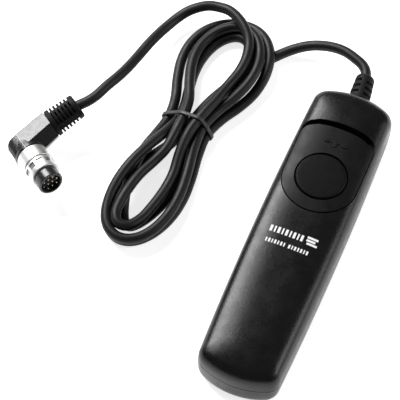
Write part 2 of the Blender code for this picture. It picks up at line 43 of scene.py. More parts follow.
# The view: a long lens from the foot of the handset, a little to its right and well above it, with
# the picture turned a few degrees clockwise.
CAMERA_AT = Vector((0.12093, -0.46520, 0.87959))
CAMERA_AIM = Vector((-0.15497, 0.46697, -0.87059))
CAMERA_ROLL = math.radians(4.21)
camera_data = bpy.data.cameras.new("camera")
camera_data.lens = 280.0
camera_data.sensor_width = 36.0
camera_data.clip_start = 0.05
camera = bpy.data.objects.new("camera", camera_data)
scene.collection.objects.link(camera)
camera_turn = CAMERA_AIM.to_track_quat("-Z", "Y") @ Quaternion((0, 0, 1), CAMERA_ROLL)
camera.rotation_mode = "QUATERNION"
camera.rotation_quaternion = camera_turn
camera.location = CAMERA_AT
scene.camera = camera
scene.view_settings.view_transform = "Standard"

# The table and the studio: a white acrylic sheet lit from below as well, an even sky, a big soft box
# up on the left and a weaker one low on the right that draws the long edges.
TABLE_HALF = 1.6
TABLE_DROP = 0.00005
TABLE_GLOW = 0.75
SKY_STRENGTH = 0.16
table_mesh = bmesh.new()
bmesh.ops.create_grid(table_mesh, x_segments=1, y_segments=1, size=TABLE_HALF)
table_data = bpy.data.meshes.new("table")
table_mesh.to_mesh(table_data)
table_mesh.free()
table = bpy.data.objects.new("table", table_data)
table.location.z = -TABLE_DROP
scene.collection.objects.link(table)
acrylic = bpy.data.materials.new("white_acrylic")
acrylic.use_nodes = True
acrylic_shader = acrylic.node_tree.nodes["Principled BSDF"]
acrylic_shader.inputs["Base Color"].default_value = (0.9, 0.9, 0.9, 1)
acrylic_shader.inputs["Roughness"].default_value = 0.9
acrylic_shader.inputs["Specular IOR Level"].default_value = 0.1
acrylic_shader.inputs["Emission Color"].default_value = (1, 1, 1, 1)
acrylic_shader.inputs["Emission Strength"].default_value = TABLE_GLOW
table_data.materials.append(acrylic)

sky = bpy.data.worlds.new("studio")
sky.use_nodes = True
sky.node_tree.nodes["Background"].inputs["Color"].default_value = (1, 1, 1, 1)
sky.node_tree.nodes["Background"].inputs["Strength"].default_value = SKY_STRENGTH
scene.world = sky


def soft_box(name, place, aim, width, height, power):
    """One rectangular studio light, turned to its aim."""
    lamp = bpy.data.lights.new(name, "AREA")
    lamp.shape = "RECTANGLE"
    lamp.size = width
    lamp.size_y = height
    lamp.energy = power
    thing = bpy.data.objects.new(name, lamp)
    scene.collection.objects.link(thing)
    thing.location = place
    thing.rotation_euler = (Vector(aim) - Vector(place)).to_track_quat("-Z", "Y").to_euler()


soft_box("key_light", (-0.75, 0.45, 0.75), (-0.03, 0.0, 0.0), 0.6, 0.6, 19.0)
soft_box("edge_light", (0.8, 0.25, 0.45), (0.0, 0.0, 0.0), 0.5, 0.5, 3.5)

# The cord: one soft black lead, 3.5 mm thick, from the handset's boot to the plug's, wound into a
# figure-of-eight hank. Each strand rests on the ones laid before it.
CORD_D = 0.0035
CORD_START = Vector((-0.0010, 0.0656, 0.0090))
HANDSET_ROUTE = (
    (-0.0019, 0.0684, 0.0088), (-0.0039, 0.0706, 0.0085), (-0.0072, 0.0723, 0.0080),
    (-0.0113, 0.0739, 0.0070), (-0.0156, 0.0744, 0.0056), (-0.0197, 0.0741, 0.0041),
    (-0.0235, 0.0732, 0.0026), (-0.0271, 0.0714, 0.0019), (-0.0301, 0.0691, 0.0018))
INTO_HANK = ((-0.0344, 0.0642), (-0.0386, 0.0576), (-0.0426, 0.0500), (-0.0462, 0.0416))
INNER_LOOP = (
    (-0.0513, 0.0214), (-0.0518, 0.0163), (-0.0536, 0.0112), (-0.0558, 0.0050), (-0.0573, -0.0022),
    (-0.0579, -0.0080), (-0.0576, -0.0122), (-0.0557, -0.0150), (-0.0526, -0.0147),
    (-0.0498, -0.0108), (-0.0480, -0.0044), (-0.0467, 0.0031), (-0.0464, 0.0096),
    (-0.0470, 0.0152), (-0.0473, 0.0200), (-0.0470, 0.0250), (-0.0460, 0.0297))
OUT_OF_HANK = (
    (-0.0447, 0.0348), (-0.0435, 0.0391), (-0.0425, 0.0443), (-0.0414, 0.0487), (-0.0405, 0.0526),
    (-0.0402, 0.0559), (-0.0404, 0.0594), (-0.0411, 0.0625), (-0.0425, 0.0656),
    (-0.0451, 0.0687), (-0.0483, 0.0713), (-0.0522, 0.0733))
PLUG_ROUTE = (
    (-0.0576, 0.0737, 0.0069), (-0.0599, 0.0732, 0.0058), (-0.0628, 0.0716, 0.0043),
    (-0.0656, 0.0693, 0.0029), (-0.0679, 0.0660, 0.0025), (-0.0696, 0.0621, 0.0033),
    (-0.0710, 0.0574, 0.0046), (-0.0730, 0.0478, 0.0069), (-0.0745, 0.0384, 0.0098),
    (-0.0757, 0.0333, 0.0111), (-0.0775, 0.0281, 0.0120), (-0.0793, 0.0229, 0.0122),
    (-0.0811, 0.0199, 0.0121))
CORD_END = Vector((-0.0839, 0.0168, 0.0112))
HANK_AT = Vector((-0.0494, 0.0296))
HANK_LEAN = math.radians(-5.3)
UPPER_LOBE = (0.0439, 0.0226)
LOWER_LOBE = (0.0486, 0.0182)
# Each half turn: its lobe, half the waist where it starts and ends, and how far inside the outline it
# lies at its start, its tip and its end, all in millimetres but the lobe.
HALF_TURNS = (
    (LOWER_LOBE, 0.0, 7.0, 0.3, 0.9, 0.0), (UPPER_LOBE, 7.0, 7.0, 0.0, 0.0, 0.0),
    (LOWER_LOBE, 7.0, 3.5, 3.4, 6.3, 3.3), (UPPER_LOBE, 3.5, 3.5, 4.6, 5.2, 5.4),
    (LOWER_LOBE, 3.5, 5.3, 3.0, -0.2, 1.3), (UPPER_LOBE, 5.3, 1.75, 2.1, 3.0, 2.9))
STEPS_PER_HALF = 18
ROUTE_STEP = 0.001
TOUCHING = 0.966 * CORD_D
HUMP_RADIUS = 0.030
STIFFNESS = 0.003
NEIGHBOURS = 14
BOOT_HOLD = 0.003
PLUG_HOLD = 0.036
TIE_T = 0.0006


def hank_place(along, across):
    """A place in the hank's own plane, seen from above."""
    c = math.cos(HANK_LEAN)
    s = math.sin(HANK_LEAN)
    return HANK_AT.x + c * across - s * along, HANK_AT.y + s * across + c * along


route = [tuple(CORD_START), *HANDSET_ROUTE]
route += [(x, y, CORD_D / 2) for x, y in INTO_HANK]
for lobe, waist_in, waist_out, inset_in, inset_tip, inset_out in HALF_TURNS:
    first = math.pi if lobe is LOWER_LOBE else 0.0
    for step in range(STEPS_PER_HALF):
        share = step / STEPS_PER_HALF
        blend = share * share * (3 - 2 * share)
        angle = first + math.pi * share
        waist = (waist_in + (waist_out - waist_in) * blend) * MM
        inset_side = inset_in if share < 0.5 else inset_out
        inset = (inset_tip + (inset_side - inset_tip) * math.cos(math.pi * share) ** 2) * MM
        squared = math.sin(angle) ** 2
        swell = squared * 1.35 / (squared + 0.35)
        half_width = waist + (lobe[1] - 1.8 * inset - waist) * swell
        place = hank_place((lobe[0] - inset) * math.sin(angle), half_width * math.cos(angle))
        route.append((*place, CORD_D / 2))
route += [(x, y, CORD_D / 2) for x, y in (hank_place(0, -0.00175), *INNER_LOOP, *OUT_OF_HANK)]
route += [*PLUG_ROUTE, tuple(CORD_END)]


def smooth_line(points, spacing):
    """A centripetal Catmull-Rom line through the points, read at even steps."""
    p = np.array(points)
    p = np.vstack([2 * p[0] - p[1], p, 2 * p[-1] - p[-2]])
    dense = []
    for a, b, c, d in zip(p, p[1:], p[2:], p[3:]):
        t0 = 0.0
        t1 = np.linalg.norm(b - a) ** 0.5
        t2 = t1 + np.linalg.norm(c - b) ** 0.5
        t3 = t2 + np.linalg.norm(d - c) ** 0.5
        for t in np.linspace(t1, t2, 16, endpoint=False):
            ab = (a * (t1 - t) + b * (t - t0)) / (t1 - t0)
            bc = (b * (t2 - t) + c * (t - t1)) / (t2 - t1)
            cd = (c * (t3 - t) + d * (t - t2)) / (t3 - t2)
            abc = (ab * (t2 - t) + bc * (t - t0)) / (t2 - t0)
            bcd = (bc * (t3 - t) + cd * (t - t1)) / (t3 - t1)
            dense.append((abc * (t2 - t) + bcd * (t - t1)) / (t2 - t1))
    dense.append(p[-2])
    dense = np.array(dense)
    walked = np.r_[0, np.cumsum(np.linalg.norm(np.diff(dense, axis=0), axis=1))]
    stations = np.linspace(0, walked[-1], int(round(walked[-1] / spacing)) + 1)
    return np.stack([np.interp(stations, walked, dense[:, k]) for k in range(3)], axis=1)


def lay_down(line, spacing):
    """Raises each strand onto the strands laid before it and onto the tie, in long low humps."""
    stations = np.arange(len(line)) * spacing
    apart = ((line[:, None, :2] - line[None, :, :2]) ** 2).sum(-1)
    reach = np.sqrt(np.maximum(0, TOUCHING ** 2 - apart))
    order = np.arange(len(line))
    below = (order[None] < order[:, None] - NEIGHBOURS) & (apart < TOUCHING ** 2)
    along = (line[:, 1] - HANK_AT.y) * math.cos(HANK_LEAN) - (line[:, 0] - HANK_AT.x) * math.sin(HANK_LEAN)
    near = np.abs(line[:, 0] - HANK_AT.x) < 0.012
    floor = np.maximum(line[:, 2], CORD_D / 2)
    floor = np.where((np.abs(along) < 0.0012) & near, CORD_D / 2 + TIE_T + 0.0001, floor)
    drop = (stations[:, None] - stations[None]) ** 2 / (2 * HUMP_RADIUS)
    blur = np.exp(-0.5 * ((stations[:, None] - stations[None]) / STIFFNESS) ** 2)
    blur /= blur.sum(1, keepdims=True)
    height = floor.copy()
    for _ in range(40):
        need = np.maximum(np.where(below, height[None] + reach, 0).max(1), floor)
        eased = np.maximum(blur @ (need[None] - drop).max(1), need - 0.00005)
        height = (height + eased) / 2
    held = (stations < BOOT_HOLD) | (stations > stations[-1] - PLUG_HOLD)
    height = np.where(held, line[:, 2], height)
    return np.column_stack([line[:, :2], blur @ height])


line = lay_down(smooth_line(route, ROUTE_STEP), ROUTE_STEP)
line[0] = CORD_START
line[-1] = CORD_END
cord_curve = bpy.data.curves.new("cord", "CURVE")
cord_curve.dimensions = "3D"
cord_curve.bevel_depth = CORD_D / 2
cord_curve.bevel_resolution = 6
cord_curve.use_fill_caps = True
cord_curve.resolution_u = 2
strand = cord_curve.splines.new("NURBS")
strand.points.add(len(line) - 1)
for knot, place in zip(strand.points, line):
    knot.co = (*place, 1)
strand.order_u = 4
strand.use_endpoint_u = True
strand.use_smooth = True
cord = bpy.data.objects.new("cord", cord_curve)
scene.collection.objects.link(cord)


def link(tree, source, target):
    """Joins one node's output to another's input."""
    tree.links.new(source, target)


def noise(tree, where, scale, detail, roughness=0.5):
    """A noise that reads the piece's own coordinates."""
    made = tree.nodes.new("ShaderNodeTexNoise")
    made.inputs["Scale"].default_value = scale
    made.inputs["Detail"].default_value = detail
    made.inputs["Roughness"].default_value = roughness
    link(tree, where, made.inputs["Vector"])
    return made.outputs["Fac"]


def spread(tree, value, low, high):
    """Turns a noise into a small range of another value."""
    made = tree.nodes.new("ShaderNodeMapRange")
    made.inputs["From Min"].default_value = 0.3
    made.inputs["From Max"].default_value = 0.7
    made.inputs["To Min"].default_value = low
    made.inputs["To Max"].default_value = high
    link(tree, value, made.inputs["Value"])
    return made.outputs["Result"]


def finish_look(name, dark, light, gloss, grain, depth, metal=0.0, specular=0.5, patch=90.0, turned=None,
                lines=0.0, coat=0.0):
    """A material with two tones in soft patches, uneven gloss, and a grain or turning lines as bump.

    gloss is the roughness range, grain the number of grains in a metre, depth the bump in metres."""
    made = bpy.data.materials.new(name)
    made.use_nodes = True
    tree = made.node_tree
    shader = tree.nodes["Principled BSDF"]
    shader.inputs["Metallic"].default_value = metal
    shader.inputs["Specular IOR Level"].default_value = specular
    shader.inputs["Coat Weight"].default_value = coat
    shader.inputs["Coat Roughness"].default_value = 0.25
    own = tree.nodes.new("ShaderNodeTexCoord").outputs["Object"]
    if turned is not None:
        mapping = tree.nodes.new("ShaderNodeMapping")
        mapping.inputs["Rotation"].default_value = turned
        link(tree, own, mapping.inputs["Vector"])
        own = mapping.outputs["Vector"]
    tones = tree.nodes.new("ShaderNodeMix")
    tones.data_type = "RGBA"
    tones.inputs[6].default_value = (*dark, 1)
    tones.inputs[7].default_value = (*light, 1)
    tone = tree.nodes.new("ShaderNodeMix")
    tone.inputs[0].default_value = 0.5
    link(tree, spread(tree, noise(tree, own, patch, 3.0), 0.0, 1.0), tone.inputs[2])
    link(tree, spread(tree, noise(tree, own, max(grain, 400.0) * 0.8, 1.0), 0.0, 1.0), tone.inputs[3])
    link(tree, tone.outputs[0], tones.inputs[0])
    link(tree, tones.outputs[2], shader.inputs["Base Color"])
    scuffs = noise(tree, own, patch * 5.5, 4.0, 0.65)
    link(tree, spread(tree, scuffs, *gloss), shader.inputs["Roughness"])
    bump = tree.nodes.new("ShaderNodeBump")
    bump.inputs["Distance"].default_value = depth
    bump.inputs["Strength"].default_value = 0.6
    if lines:
        stretched = tree.nodes.new("ShaderNodeMapping")
        stretched.inputs["Scale"].default_value = (lines, 20.0, 20.0)
        link(tree, own, stretched.inputs["Vector"])
        height = noise(tree, stretched.outputs["Vector"], 1.0, 2.0)
    else:
        height = noise(tree, own, grain, 2.0, 0.6)
    link(tree, height, bump.inputs["Height"])
    link(tree, bump.outputs["Normal"], shader.inputs["Normal"])
    return made


cord_look = finish_look("cord_jacket", (0.0035, 0.0035, 0.0042), (0.006, 0.006, 0.007), (0.40, 0.54), 2600.0,
                        0.00003, patch=60.0, specular=0.28)
cord_curve.materials.append(cord_look)
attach(cord, "handset")
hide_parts("cord_handset_side", "cord_hank", "cord_plug_side")

# The twist tie: a flat wire covered in black paper. It is drawn once round the hank's waist and
# pressed flat under it, and it follows the strands it holds.
TIE_W = 0.0013
TIE_REACH = 0.014
TIE_GAP = 0.00008
TIE_SAMPLE = 0.0009
crossings = []
for x, y, z in line:
    along = (y - HANK_AT.y) * math.cos(HANK_LEAN) - (x - HANK_AT.x) * math.sin(HANK_LEAN)
    across = (x - HANK_AT.x) * math.cos(HANK_LEAN) + (y - HANK_AT.y) * math.sin(HANK_LEAN)
    if abs(along) < TIE_SAMPLE and abs(across) < TIE_REACH:
        for step in range(32):
            heading = math.radians(11.25 * step)
            crossings.append((across + (CORD_D / 2 + TIE_GAP) * math.cos(heading),
                              z + (CORD_D / 2 + TIE_GAP) * math.sin(heading)))


def hull_half(points):
    """One side of the tight loop round a set of points."""
    kept = []
    for p in points:
        while len(kept) > 1 and ((kept[-1][0] - kept[-2][0]) * (p[1] - kept[-2][1])
                                 - (kept[-1][1] - kept[-2][1]) * (p[0] - kept[-2][0])) <= 0:
            kept.pop()
        kept.append(p)
    return kept[:-1]


tight_loop = hull_half(sorted(crossings)) + hull_half(sorted(crossings, reverse=True))


def new_piece(name, bm, look, body, node=None, smooth=35.0):
    """Makes the finished mesh an object at the origin, with its faces outwards, on its body."""
    bmesh.ops.remove_doubles(bm, verts=bm.verts, dist=1e-7)
    bmesh.ops.recalc_face_normals(bm, faces=bm.faces)
    data = bpy.data.meshes.new(name)
    bm.to_mesh(data)
    bm.free()
    data.shade_smooth()
    data.set_sharp_from_angle(angle=math.radians(smooth))
    if look:
        data.materials.append(look)
    thing = bpy.data.objects.new(name, data)
    scene.collection.objects.link(thing)
    if body:
        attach(thing, body)
    if node:
        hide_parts(node)
    return thing


tie_mesh = bmesh.new()
rim = [tie_mesh.verts.new((*hank_place(-TIE_W / 2, across), z)) for across, z in tight_loop]
edges = [tie_mesh.edges.new((rim[i - 1], rim[i])) for i in range(len(rim))]
drawn = bmesh.ops.extrude_edge_only(tie_mesh, edges=edges)["geom"]
shift = Vector((*hank_place(TIE_W, 0), 0)) - Vector((*hank_place(0, 0), 0))
bmesh.ops.translate(tie_mesh, verts=[g for g in drawn if isinstance(g, bmesh.types.BMVert)], vec=shift)
tie_look = finish_look("tie_paper", (0.010, 0.010, 0.011), (0.03, 0.031, 0.033), (0.45, 0.62), 1400.0,
                       0.00006)
tie = new_piece("twist_tie", tie_mesh, tie_look, "handset", "cable_tie", smooth=50.0)
wall = tie.modifiers.new("wall", "SOLIDIFY")
wall.thickness = 0.0005
wall.offset = 1.0
soften = tie.modifiers.new("soften", "BEVEL")
soften.width = 0.00018
soften.segments = 2

# The handset's two shells: satin black ABS with a fine spark-eroded skin. The back one is a tray, the
# front one is crowned and holds the stepped pocket for the lock; four screws join them from below.
BODY_W = 0.0294
BODY_L = 0.112
SIDE_BULGE = 0.001
END_R = 0.026
CORNER_R = 0.0046
FRONT_LEVELS = (
    (9.13, 0.0), (10.8, 0.03), (12.5, 0.15), (13.8, 0.42), (14.8, 0.85), (15.6, 1.4), (16.2, 2.05),
    (16.65, 2.85), (17.0, 3.8), (17.33, 5.0), (17.6, 6.5), (17.82, 8.4), (17.95, 10.2), (17.99, 11.8),
    (18.0, 13.5))
BACK_LEVELS = (
    (8.87, 0.0), (6.5, 0.03), (4.2, 0.15), (2.8, 0.38), (1.6, 0.8), (0.9, 1.3), (0.4, 2.0), (0.12, 2.8),
    (0.0, 3.6))
shell_look = finish_look("satin_shell", (0.001, 0.001, 0.0014), (0.006, 0.006, 0.0068), (0.23, 0.33), 3000.0,
                         0.00008, patch=45.0, specular=0.3)


def arc(cx, cy, radius, start, end, steps):
    """Points on an arc, angles in degrees, both ends included."""
    angles = [math.radians(start + (end - start) * i / steps) for i in range(steps + 1)]
    return [(cx + radius * math.cos(a), cy + radius * math.sin(a)) for a in angles]


def handset_outline(inset=0.0):
    """The handset from above, drawn in by the inset: bulged sides, arched ends tangent to the corners."""
    radius = min(CORNER_R + 0.15 * inset, 0.72 * (BODY_W / 2 - SIDE_BULGE - inset))
    shrink = inset - (CORNER_R - radius)
    corner_x = BODY_W / 2 - SIDE_BULGE - CORNER_R - shrink
    lean = math.asin(corner_x / (END_R - CORNER_R - shrink))
    arch_y = BODY_L / 2 - END_R
    corner_y = arch_y + (END_R - CORNER_R - shrink) * math.cos(lean)
    lean = math.degrees(lean)
    points = []
    for sign in (1, -1):
        side = []
        for i in range(30):
            t = -1 + i / 15
            side.append((corner_x + radius + SIDE_BULGE * (1 - t * t), t * corner_y))
        corner = arc(corner_x, corner_y, radius, 0, 90 - lean, 12)
        end = arc(0, arch_y, END_R - inset, 90 - lean, 90 + lean, 24)[1:-1]
        far_corner = arc(-corner_x, corner_y, radius, 90 + lean, 180, 12)[:-1]
        points += [(sign * x, sign * y) for x, y in side + corner + end + far_corner]
    return points


def rings_body(rings, place=Matrix()):
    """A closed body bridged through rings of points, then put in its place."""
    bm = bmesh.new()
    loops = []
    for ring_points in rings:
        verts = [bm.verts.new(p) for p in ring_points]
        loops.append([bm.edges.new((verts[i - 1], verts[i])) for i in range(len(verts))])
    for low, high in zip(loops, loops[1:]):
        bmesh.ops.bridge_loops(bm, edges=low + high)
    for loop in (loops[0], loops[-1]):
        bmesh.ops.contextual_create(bm, geom=loop)
    bmesh.ops.transform(bm, matrix=place, verts=bm.verts)
    return bm


def crowned(levels, lift=0.0):
    """The handset's outline at each height, drawn in by that level's inset, in millimetres. The crown
    falls away a little towards the foot and towards the left of it."""
    rings = []
    for z, inset in levels:
        ring = []
        for x, y in handset_outline(inset * MM):
            high = min(1.0, max(0.0, (z - 11.5) / 6.0))
            foot = max(0.0, -0.018 - y) / 0.038
            thumb = max(0.0, -x) / 0.014 * min(1.0, max(0.0, -y) / 0.045)
            ring.append((x, y, (z + lift - high * (1.1 * foot ** 2 + 0.9 * thumb ** 2)) * MM))
        rings.append(ring)
    return rings_body(rings)


def prism(points, z0, z1):
    """An outline raised from z0 to z1."""
    bm = bmesh.new()
    base = bm.faces.new([bm.verts.new((x, y, z0)) for x, y in points])
    raised = bmesh.ops.extrude_face_region(bm, geom=[base])["geom"]
    lifted = [g for g in raised if isinstance(g, bmesh.types.BMVert)]
    bmesh.ops.translate(bm, verts=lifted, vec=(0, 0, z1 - z0))
    return bm


def turn(profile, segments, place=Matrix()):
    """A body turned about Z from (radius, height) points in millimetres, then put in its place."""
    bm = bmesh.new()
    verts = [bm.verts.new((r * MM, 0, z * MM)) for r, z in profile]
    edges = [bm.edges.new(pair) for pair in zip(verts, verts[1:])]
    if profile[0][0] > 0:
        edges.append(bm.edges.new((verts[-1], verts[0])))
    bmesh.ops.spin(bm, geom=verts + edges, cent=(0, 0, 0), axis=(0, 0, 1), angle=2 * math.pi, steps=segments,
                   use_merge=True, use_duplicate=False)
    bmesh.ops.remove_doubles(bm, verts=bm.verts, dist=1e-7)
    bmesh.ops.transform(bm, matrix=place, verts=bm.verts)
    return bm


def carve(target, name, bm, operation="DIFFERENCE", look=None):
    """Cuts, joins or intersects a piece with a tool body, whose own look, if any, stays on the cut."""
    bmesh.ops.remove_doubles(bm, verts=bm.verts, dist=1e-7)
    bmesh.ops.recalc_face_normals(bm, faces=bm.faces)
    data = bpy.data.meshes.new(name)
    bm.to_mesh(data)
    bm.free()
    tool = bpy.data.objects.new(name, data)
    scene.collection.objects.link(tool)
    cut = target.modifiers.new(name, "BOOLEAN")
    cut.operation = operation
    cut.solver = "EXACT"
    cut.object = tool
    if look:
        data.materials.append(look)
        cut.material_mode = "TRANSFER"
    return tool


def settle(target, tools, edge=0.0, segments=2, angle=35.0):
    """Applies the cuts, drops their tools, rounds the sharp edges and evens the shading."""
    graph = bpy.context.evaluated_depsgraph_get()
    done = bpy.data.meshes.new_from_object(target.evaluated_get(graph))
    target.modifiers.clear()
    old = target.data
    target.data = done
    bpy.data.meshes.remove(old)
    for tool in tools:
        data = tool.data
        bpy.data.objects.remove(tool)
        bpy.data.meshes.remove(data)
    done.shade_smooth()
    done.set_sharp_from_angle(angle=math.radians(angle))
    if edge:
        rounding = target.modifiers.new("edges", "BEVEL")
        rounding.width = edge
        rounding.segments = segments
        rounding.limit_method = "ANGLE"
        rounding.angle_limit = math.radians(angle)
        rounding.harden_normals = True
        rounding.use_clamp_overlap = True
    even = target.modifiers.new("shading", "WEIGHTED_NORMAL")
    even.keep_sharp = True


def at(x, y, z=0.0):
    """A place in millimetres."""
    return Matrix.Translation((x * MM, y * MM, z * MM))


def lengthwise(x, y, z):
    """Turns local Z to run along +Y, from a point in millimetres."""
    return at(x, y, z) @ Matrix.Rotation(math.radians(-90), 4, "X")


SCREWS = [(sx * 8.6, sy * 48.0) for sx in (-1, 1) for sy in (-1, 1)]
back = new_piece("back_shell", crowned(BACK_LEVELS), shell_look, "handset", "back_cover")
tools = [carve(back, "cut_hollow", crowned(((9.5, 1.6), (3.6, 2.0), (1.6, 3.2))))]
for number, (x, y) in enumerate(SCREWS):
    post = turn([(0, 0.9), (3.0, 0.9), (3.0, 8.85), (0, 8.85)], 32, at(x, y))
    tools.append(carve(back, f"add_post_{number}", post, "UNION"))
    step = [(0, -1), (2.6, -1), (2.3, 0.3), (2.3, 3.2), (1.3, 3.2), (1.3, 10), (0, 10)]
    tools.append(carve(back, f"cut_screw_{number}", turn(step, 32, at(x, y))))
for number, (x, y) in enumerate(((-7.6, 31.0), (7.6, 12.6))):
    post = turn([(0, 0.9), (1.9, 0.9), (1.9, 2.9), (0, 2.9)], 24, at(x, y))
    tools.append(carve(back, f"add_board_post_{number}", post, "UNION"))
    pilot = turn([(0, 1.2), (0.9, 1.2), (0.9, 5), (0, 5)], 16, at(x, y))
    tools.append(carve(back, f"cut_pilot_{number}", pilot))
mouth = [(0, -6), (3.2, -6), (3.2, 6), (0, 6)]
tools.append(carve(back, "cut_mouth", turn(mouth, 40, lengthwise(0, 55.3, 9.0))))
settle(back, tools, 0.00018)

PANEL_R = 12.3
PANEL_ARC_Y = 19.4
PANEL_TOP_Y = 39.0
PANEL_TOP_SAG = 1.4
PANEL_CORNER = 3.4
TRAVEL = 2.0
BUTTON_Y = 20.2


def panel_outline(grow=0.0, lengthen=0.0):
    """The lock panel from above, in metres: a half circle below, a shallow arch with round corners above."""
    half = PANEL_R + grow
    corner = PANEL_CORNER + grow
    top = PANEL_TOP_Y + grow + lengthen
    shoulder = top - PANEL_TOP_SAG - corner
    points = arc(0, PANEL_ARC_Y, half, 180, 360, 72)
    points += arc(half - corner, shoulder, corner, 0, 76, 12)
    for i in range(1, 20):
        t = 0.72 - 1.44 * i / 20
        points.append((half * t, top - PANEL_TOP_SAG * t * t * 1.25))
    points += arc(corner - half, shoulder, corner, 104, 180, 12)
    return [(x * MM, y * MM) for x, y in points]


def slot_outline(radius, y, travel, steps):
    """A round hole drawn out along +Y, in metres."""
    points = arc(0, y, radius, 180, 360, steps) + arc(0, y + travel, radius, 0, 180, steps)
    return [(px * MM, py * MM) for px, py in points]


def block(x0, x1, y0, y1, z0, z1):
    """A plain block, in millimetres, for cuts."""
    corners = [(x0, y0), (x1, y0), (x1, y1), (x0, y1)]
    return prism([(x * MM, y * MM) for x, y in corners], z0 * MM, z1 * MM)


front = new_piece("front_shell", crowned(FRONT_LEVELS), shell_look, "handset", "front_cover")
tools = [carve(front, "cut_low", crowned(((8.0, 1.6), (11.2, 1.6)))),
         carve(front, "cut_far", block(-11.5, 11.5, 43.5, 51.4, 11.0, 14.7)),
         carve(front, "cut_near", block(-11.5, 11.5, -51.8, 4.4, 11.0, 14.7)),
         carve(front, "cut_pocket", prism(panel_outline(0.3, TRAVEL), 0.0146, 0.021)),
         carve(front, "cut_cup", prism(slot_outline(10.5, BUTTON_Y, TRAVEL, 36), 0.0126, 0.0156)),
         carve(front, "cut_stem", prism(slot_outline(4.2, BUTTON_Y, TRAVEL, 20), 0.0102, 0.0129))]
for number, x in enumerate((-7.5, 7.5)):
    tools.append(carve(front, f"cut_leg_{number}", block(x - 2.0, x + 2.0, 34.4, 40.4, 10.2, 15.6)))
for number, (x, y) in enumerate(SCREWS):
    post = turn([(0, 9.15), (2.6, 9.15), (2.6, 14.9), (0, 14.9)], 28, at(x, y))
    tools.append(carve(front, f"add_post_{number}", post, "UNION"))
    hole = turn([(0, 8), (1.3, 8), (1.3, 14.4), (0, 14.4)], 20, at(x, y))
    tools.append(carve(front, f"cut_screw_{number}", hole))
flange = turn([(0, 50.5), (4.4, 50.5), (4.4, 53.7), (0, 53.7)], 40, lengthwise(0, 0, 9))
tools.append(carve(front, "cut_flange", flange))
tools.append(carve(front, "cut_mouth", turn(mouth, 40, lengthwise(0, 55.3, 9.0))))
settle(front, tools, 0.00022)

# The print on the front shell: white pad-printed ink that follows the crown. Here it is two rows of
# plain bars, a tall one with three long strokes beside it and a short one below.
ink = finish_look("white_ink", (0.78, 0.78, 0.77), (0.86, 0.86, 0.85), (0.45, 0.6), 5000.0, 0.00001)
print_mesh = bmesh.new()
BARS = [(4.0, 7.6, -2.5, -1.75), (4.0, 7.0, -3.6, -2.85), (4.4, 7.9, -4.7, -3.95)]
x = -8.3
for width in (0.8, 0.5, 0.8, 0.5, 0.8, 0.5, 0.8, 0.5, 0.8):
    BARS.append((x, x + width, -4.35, -2.1))
    x += width + 0.65
x = -8.2
for width in (0.45, 0.6, 0.4, 0.6, 0.45, 0.6, 0.4, None, 0.6, 0.4, 0.6, 0.45, 0.6, 0.4, 0.6):
    if width is None:
        x += 0.7
        continue
    BARS.append((x, x + width, -8.3, -6.9))
    x += width + 0.5
for x0, x1, y0, y1 in BARS:
    columns = max(1, round((x1 - x0) / 0.5))
    made = bmesh.ops.create_grid(print_mesh, x_segments=columns, y_segments=3, size=0.5)["verts"]
    bmesh.ops.scale(print_mesh, verts=made, vec=((x1 - x0) * MM, (y1 - y0) * MM, 1))
    bmesh.ops.translate(print_mesh, verts=made, vec=((x0 + x1) / 2 * MM, (y0 + y1) / 2 * MM, 0.025))
for vert in print_mesh.verts:
    hit, place, _, _ = front.ray_cast(vert.co, Vector((0, 0, -1)))
    vert.co.z = (place.z if hit else 0.018) + 0.00003
lower = bmesh.ops.extrude_face_region(print_mesh, geom=list(print_mesh.faces), use_keep_orig=True)["geom"]
sunk = [g for g in lower if isinstance(g, bmesh.types.BMVert)]
bmesh.ops.translate(print_mesh, verts=sunk, vec=(0, 0, -0.00006))
new_piece("print_bars", print_mesh, ink, "handset", smooth=60.0)

# The lock: a panel 0.3 mm proud of the crown, with a cup for the button and two legs that hold the
# steel keeper bar under the shelf. It slides towards the cord to hold the button down.
panel_look = finish_look("satin_panel", (0.001, 0.001, 0.0014), (0.006, 0.006, 0.0068), (0.34, 0.46), 3200.0,
                         0.00008, patch=55.0, specular=0.18)
panel = new_piece("lock_panel", prism(panel_outline(), 0.0149, 0.0200), panel_look, "lock_slider",
                  "lock_slider")
tools = [carve(panel, "keep_crown", crowned(FRONT_LEVELS, 0.3), "INTERSECT"),
         carve(panel, "add_cup",
               turn([(0, 12.9), (10.2, 12.9), (10.2, 15.5), (0, 15.5)], 64, at(0, BUTTON_Y)), "UNION")]
for number, x in enumerate((-7.5, 7.5)):
    tools.append(carve(panel, f"add_leg_{number}", block(x - 1.7, x + 1.7, 34.7, 38.1, 11.3, 15.5), "UNION"))
    pilot = turn([(0, 10), (1.05, 10), (1.05, 14), (0, 14)], 16, at(x, 36.4))
    tools.append(carve(panel, f"cut_pilot_{number}", pilot))
bore = turn([(0, 13.9), (8.75, 13.9), (8.75, 22), (0, 22)], 96, at(0, BUTTON_Y))
tools.append(carve(panel, "cut_bore", bore))
stem_hole = turn([(0, 11.9), (2.5, 11.9), (2.5, 14.9), (0, 14.9)], 24, at(0, BUTTON_Y))
tools.append(carve(panel, "cut_stem", stem_hole))
settle(panel, tools, 0.00030, 3)

